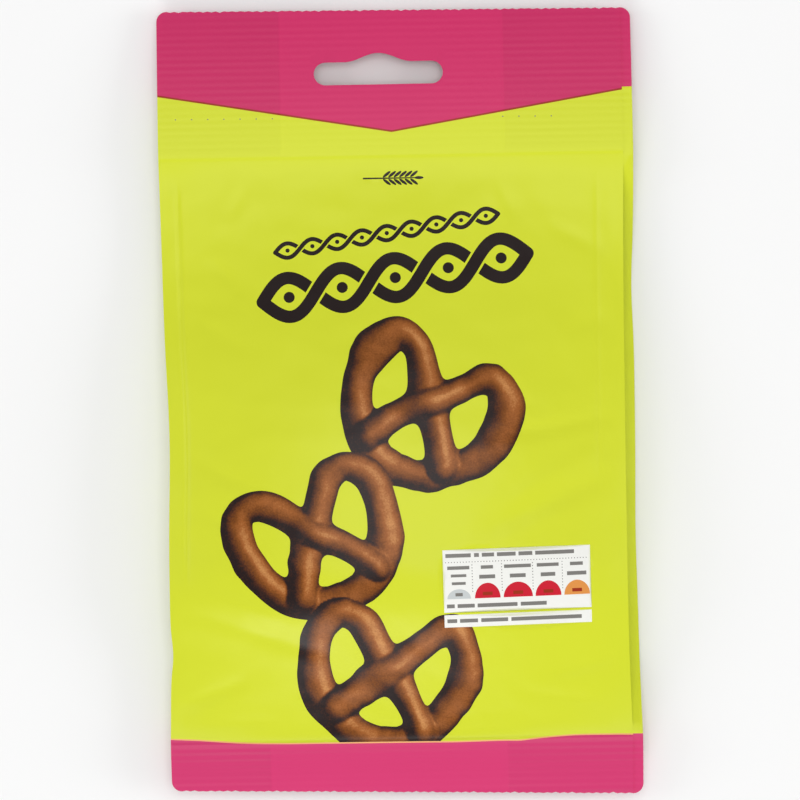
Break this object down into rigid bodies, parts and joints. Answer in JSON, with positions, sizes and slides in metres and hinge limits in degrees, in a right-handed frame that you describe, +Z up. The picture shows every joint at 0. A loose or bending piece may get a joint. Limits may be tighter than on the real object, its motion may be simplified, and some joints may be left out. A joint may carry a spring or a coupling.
{
  "type": "snack bag",
  "caption": "Shut side-gusseted film snack bag, filled and lying on its back, with a wide sealed header that has a hanging slot and a narrow sealed foot.",
  "frame": {"origin": "on the surface that the bag lies on, under the middle of its bounding box", "axes": "+X to the right of the printed front, +Y towards the header with the hanging slot, +Z up out of the printed front"},
  "size_m": [0.1178, 0.1964, 0.0238],
  "materials": {
    "film": "satin-gloss printed film, lime with magenta header and foot"
  },
  "bodies": {
    "root": {"bag": "film"}
  },
  "joints": []
}
